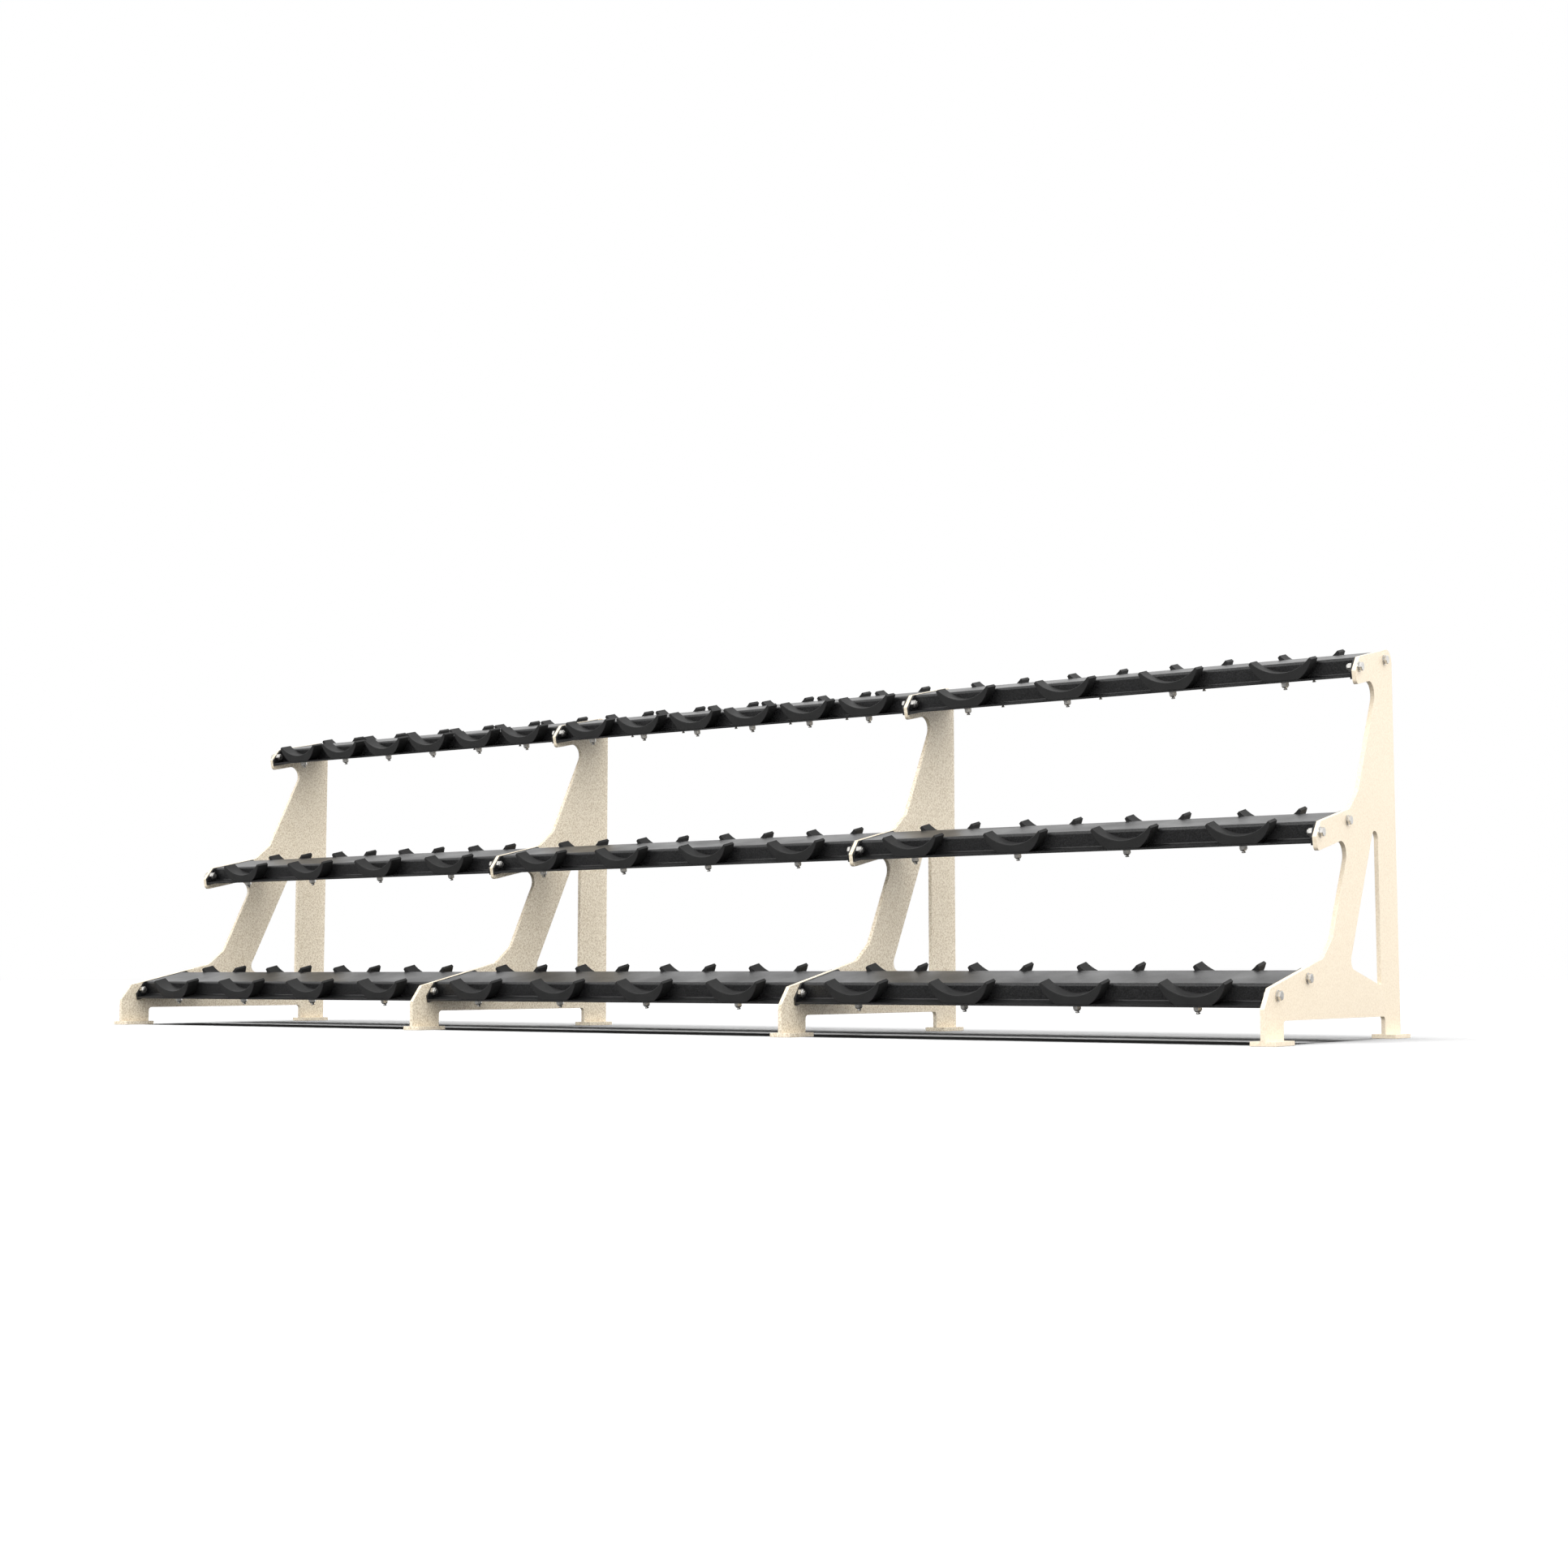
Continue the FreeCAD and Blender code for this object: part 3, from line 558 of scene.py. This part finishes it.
def to_object(mesh: bmesh.types.BMesh, name: str, smooth_deg: float = 40.0) -> bpy.types.Object:
    """Turn a bmesh into an object at the origin with smooth faces and weighted normals.

    Args:
        mesh: The finished mesh, which is freed.
        name: The object's name.
        smooth_deg: Edges sharper than this stay sharp.

    Returns:
        The object.
    """
    data = bpy.data.meshes.new(name)
    mesh.to_mesh(data)
    mesh.free()
    data.shade_smooth()
    data.set_sharp_from_angle(angle=math.radians(smooth_deg))
    piece = bpy.data.objects.new(name, data)
    bpy.context.scene.collection.objects.link(piece)
    weighted = piece.modifiers.new("weighted_normals", "WEIGHTED_NORMAL")
    weighted.keep_sharp = True
    weighted.weight = NORMAL_WEIGHT
    return piece


def islands(mesh: bmesh.types.BMesh) -> list[list[bmesh.types.BMVert]]:
    """Split a mesh into its separate solids.

    Args:
        mesh: The mesh to look through.

    Returns:
        The vertices of each solid.
    """
    unseen = set(mesh.verts)
    found = []
    while unseen:
        front = [unseen.pop()]
        group = list(front)
        while front:
            vert = front.pop()
            for edge in vert.link_edges:
                other = edge.other_vert(vert)
                if other in unseen:
                    unseen.remove(other)
                    group.append(other)
                    front.append(other)
        found.append(group)
    return found


@dataclass(frozen=True)
class Thread:
    """Rings that stand for a metric thread at the end of a shank.

    The cuts are made one by one from the tip, each after the ring before it was drawn in. So the
    rings narrow towards the shank, which then widens in a cone to its full size.
    """

    radius_mm: float
    pitch_mm: float
    along: Vector
    start_mm: float = 1.0
    crests: int = 3
    depth_share: float = 0.61

    def cut(self, mesh: bmesh.types.BMesh) -> None:
        """Cut thread rings into the thinner end of every solid.

        Args:
            mesh: Solids whose shanks all lie along this thread's direction.
        """
        for verts in islands(mesh):
            self.cut_solid(mesh, verts)

    def cut_solid(self, mesh: bmesh.types.BMesh, verts: list[bmesh.types.BMVert]) -> None:
        """Cut rings into one solid, drawing in every second one as it is made.

        Args:
            mesh: The mesh that holds the solid.
            verts: The solid's vertices.
        """
        tip, inward = self.find_tip(verts)
        geom = list({item for vert in verts for item in (vert, *vert.link_edges, *vert.link_faces)})
        share = 1.0 - self.depth_share * self.pitch_mm / self.radius_mm
        for ring in range(2 * self.crests + 1):
            middle = tip + inward * mm(self.start_mm + ring * self.pitch_mm / 2)
            cut = bmesh.ops.bisect_plane(
                mesh, geom=geom, dist=CUT_DISTANCE, plane_co=middle, plane_no=inward
            )
            geom = cut["geom"]
            if ring % 2 == 1:
                for item in cut["geom_cut"]:
                    if isinstance(item, bmesh.types.BMVert):
                        item.co = middle + (item.co - middle) * share

    def find_tip(self, verts: list[bmesh.types.BMVert]) -> tuple[Vector, Vector]:
        """Find the middle of a solid's thinner end.

        Args:
            verts: The solid's vertices.

        Returns:
            The end's middle, and the direction from there into the solid.
        """
        ends = []
        for inward in (self.along, -self.along):
            start = min(vert.co.dot(inward) for vert in verts)
            rim = [vert.co for vert in verts if vert.co.dot(inward) < start + MERGE_DISTANCE]
            middle = sum(rim, Vector()) / len(rim)
            ends.append((max((place - middle).length for place in rim), middle, inward))
        _, middle, inward = min(ends, key=lambda end: end[0])
        return middle, inward


class Dresser:
    """Turns CAD nodes into finished pieces and keeps one material for each slot, and a lit copy of
    the frame coat that paints a lamp's glare.
    """

    def __init__(self) -> None:
        """Build the finishes."""
        self.materials = {
            Slot.FRAME: PowderCoat().build(),
            Slot.SHELF: TexturedPowderCoat().build(),
            Slot.SADDLE: MouldedPolymer().build(),
            Slot.ZINC: ZincPlate().build(),
        }
        # Lit copy of the frame coat with less grain: painted glare for the plate a lamp shines
        # straight on.
        self.painted_glare_coat = PowderCoat(name="ivory_powder_coat_painted_glare", grain_shown=PAINTED_GLARE_GRAIN).build()
        self.pieces = 0

    def finish(self, piece: bpy.types.Object, slot: Slot, node: str) -> bpy.types.Object:
        """Give a piece its material, body and slot.

        Args:
            piece: The finished piece.
            slot: The record's material slot.
            node: The CAD node that the piece stands for.

        Returns:
            The piece.
        """
        piece.data.materials.clear()
        piece.data.materials.append(self.materials[slot])
        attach(piece, BODY)
        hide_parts(node)
        self.pieces += 1
        LOG.info("%s: %d faces", piece.name, len(piece.data.polygons))
        return piece

    def soften_node(
        self, node: str, slot: Slot, softening: Softening, thread: Thread | None = None
    ) -> bpy.types.Object:
        """Replace a CAD node by its own shape with rounded edges.

        Args:
            node: The CAD node's name.
            slot: The record's material slot.
            softening: How its edges are rounded.
            thread: The thread at the end of its shanks, if they show one.

        Returns:
            The new piece.
        """
        mesh = merged_copy(node)
        soften(mesh, softening)
        if thread:
            thread.cut(mesh)
        return self.finish(to_object(mesh, f"{node}_finished"), slot, node)


# ------------------------------------------------------------------------------ sub-assemblies


@dataclass
class Upright:
    """One laser-cut plate upright with the two foot plates welded under its legs."""

    station: Station
    plate_edge: Softening = Softening(width_mm=0.9, segments=3)
    foot_edge: Softening = Softening(width_mm=0.8, segments=2)

    def build(self, dresser: Dresser) -> None:
        """Make the plate and its feet."""
        place = self.station.value
        pieces = [dresser.soften_node(f"upright_{place}", Slot.FRAME, self.plate_edge)]
        for side in Side:
            node = f"foot_plate_{side.value}_{place}"
            pieces.append(dresser.soften_node(node, Slot.FRAME, self.foot_edge))
        # The right-hand end takes the lit copy of the coat, painted glare where the side lamp
        # shines straight on it.
        if self.station is Station.RIGHT_END:
            for piece in pieces:
                piece.data.materials[0] = dresser.painted_glare_coat


@dataclass
class Shelf:
    """One folded shelf with its end plates and its two rows of saddles."""

    tier: Tier
    bay: Bay
    sheet_edge: Softening = Softening(width_mm=0.5, segments=2)
    end_edge: Softening = Softening(width_mm=0.6, segments=2)
    saddle_edge: Softening = Softening(width_mm=1.0, segments=2, sharpest_deg=35.0)

    def build(self, dresser: Dresser) -> None:
        """Make the sheet, its ends and its saddles."""
        place = f"{self.tier.value}_{self.bay.value}"
        dresser.soften_node(f"shelf_{place}", Slot.SHELF, self.sheet_edge)
        dresser.soften_node(f"end_plates_{place}", Slot.SHELF, self.end_edge)
        for side in Side:
            node = f"saddles_{side.value}_{place}"
            dresser.soften_node(node, Slot.SADDLE, self.saddle_edge)


@dataclass
class Fasteners:
    """Zinc-plated bolts, nuts and washers."""

    edge: Softening = Softening(width_mm=0.35, segments=1, sharpest_deg=25.0)
    bolt_thread: Thread = Thread(
        radius_mm=6.0,
        pitch_mm=1.75,
        along=Vector((1.0, 0.0, 0.0)),
        crests=2,
    )
    stud_thread: Thread = Thread(
        radius_mm=5.0,
        pitch_mm=1.5,
        along=Vector((0.0, -math.sin(TIER_TILT), math.cos(TIER_TILT))),
    )

    def build(self, dresser: Dresser) -> None:
        """Make every group of fasteners."""
        dresser.soften_node("frame_bolts", Slot.ZINC, self.edge, self.bolt_thread)
        dresser.soften_node("saddle_studs", Slot.ZINC, self.edge, self.stud_thread)
        for node in ("frame_nuts", "frame_washers", "saddle_nuts", "saddle_washers"):
            dresser.soften_node(node, Slot.ZINC, self.edge)


# ------------------------------------------------------------------------------------ studio


@dataclass
class Studio:
    """Sweep that looks white, soft lights and the camera.

    The overhead light reaches only the floor. The dome has one strength for what the camera
    sees, one for reflections and one for diffuse light.
    """

    floor_half: float = 60.0
    dome_seen: float = 1.0
    dome_diffuse: float = 1.9
    dome_glossy: float = 1.2
    side_light: float = 0.25
    side_angle_deg: float = 4.0
    side_towards: tuple[float, float, float] = (1.0, 0.0, 0.0)
    front_light: float = 0.3
    front_angle_deg: float = 25.0
    front_towards: tuple[float, float, float] = (-0.3, -1.0, 0.35)
    floor_light: float = 104.0
    floor_angle_deg: float = 38.0
    floor_towards: tuple[float, float, float] = (0.0, 0.0, 1.0)
    camera_place: tuple[float, float, float] = (3.5587, -4.6090, 0.1416)
    camera_turn_deg: tuple[float, float, float] = (95.059, 0.0, 35.006)
    lens_mm: float = 50.0
    sensor_mm: float = 36.0

    def build(self) -> None:
        """Make the floor, the light and the camera."""
        floor = self.build_floor()
        self.build_world()
        self.build_sun("side_light", self.side_light, self.side_angle_deg, self.side_towards)
        self.build_sun("front_light", self.front_light, self.front_angle_deg, self.front_towards)
        overhead = self.build_sun(
            "floor_light", self.floor_light, self.floor_angle_deg, self.floor_towards
        )
        lit = bpy.data.collections.new("lit_by_floor_light")
        lit.objects.link(floor)
        overhead.light_linking.receiver_collection = lit
        self.build_camera()

    def build_floor(self) -> bpy.types.Object:
        """Make the floor plane, level with the underside of the feet."""
        mesh = bmesh.new()
        bmesh.ops.create_grid(mesh, x_segments=1, y_segments=1, size=self.floor_half)
        data = bpy.data.meshes.new("studio_floor")
        mesh.to_mesh(data)
        mesh.free()
        data.materials.append(StudioFloor().build())
        floor = bpy.data.objects.new("studio_floor", data)
        bpy.context.scene.collection.objects.link(floor)
        return floor

    def build_world(self) -> None:
        """Make an even white dome with those three strengths."""
        world = bpy.data.worlds.new("studio_world")
        world.use_nodes = True
        tree = world.node_tree
        tree.nodes.clear()
        path = add_node(tree, "ShaderNodeLightPath")
        strength = add_node(
            tree,
            "ShaderNodeMapRange",
            {"To Min": self.dome_diffuse, "To Max": self.dome_glossy},
            {"Value": path.outputs["Is Glossy Ray"]},
        )
        shown = add_node(
            tree,
            "ShaderNodeMapRange",
            {"To Max": self.dome_seen},
            {"Value": path.outputs["Is Camera Ray"], "To Min": strength.outputs[0]},
        )
        light = add_node(
            tree,
            "ShaderNodeBackground",
            {"Color": (1.0, 1.0, 1.0, 1.0)},
            {"Strength": shown.outputs[0]},
        )
        add_node(tree, "ShaderNodeOutputWorld", None, {"Surface": light.outputs[0]})
        bpy.context.scene.world = world

    def build_sun(
        self, name: str, strength: float, angle_deg: float, towards: tuple[float, float, float]
    ) -> bpy.types.Object:
        """Add a soft distant light.

        Args:
            name: The light's name.
            strength: Its irradiance.
            angle_deg: Its apparent width.
            towards: Direction from the rack to the light.

        Returns:
            The light.
        """
        light = bpy.data.lights.new(name, "SUN")
        light.energy = strength
        light.angle = math.radians(angle_deg)
        lamp = bpy.data.objects.new(name, light)
        lamp.rotation_euler = Vector(towards).to_track_quat("Z", "Y").to_euler()
        bpy.context.scene.collection.objects.link(lamp)
        return lamp

    def build_camera(self) -> None:
        """Place the camera low at the rack's right-hand end."""
        camera = bpy.data.cameras.new("studio_camera")
        camera.lens = self.lens_mm
        camera.sensor_width = self.sensor_mm
        camera.clip_end = 4 * self.floor_half
        holder = bpy.data.objects.new("studio_camera", camera)
        holder.location = self.camera_place
        holder.rotation_euler = [math.radians(turn) for turn in self.camera_turn_deg]
        bpy.context.scene.collection.objects.link(holder)
        bpy.context.scene.camera = holder
        bpy.context.scene.view_settings.view_transform = "Standard"


def main() -> None:
    """Build the rack's pieces in order, then the studio."""
    logging.basicConfig(level=logging.INFO, format="%(name)s: %(message)s")
    dresser = Dresser()
    for station in Station:
        Upright(station).build(dresser)
    for tier in Tier:
        for bay in Bay:
            Shelf(tier, bay).build(dresser)
    Fasteners().build(dresser)
    Studio().build()
    LOG.info("%d pieces", dresser.pieces)


if __name__ == "__main__":
    main()
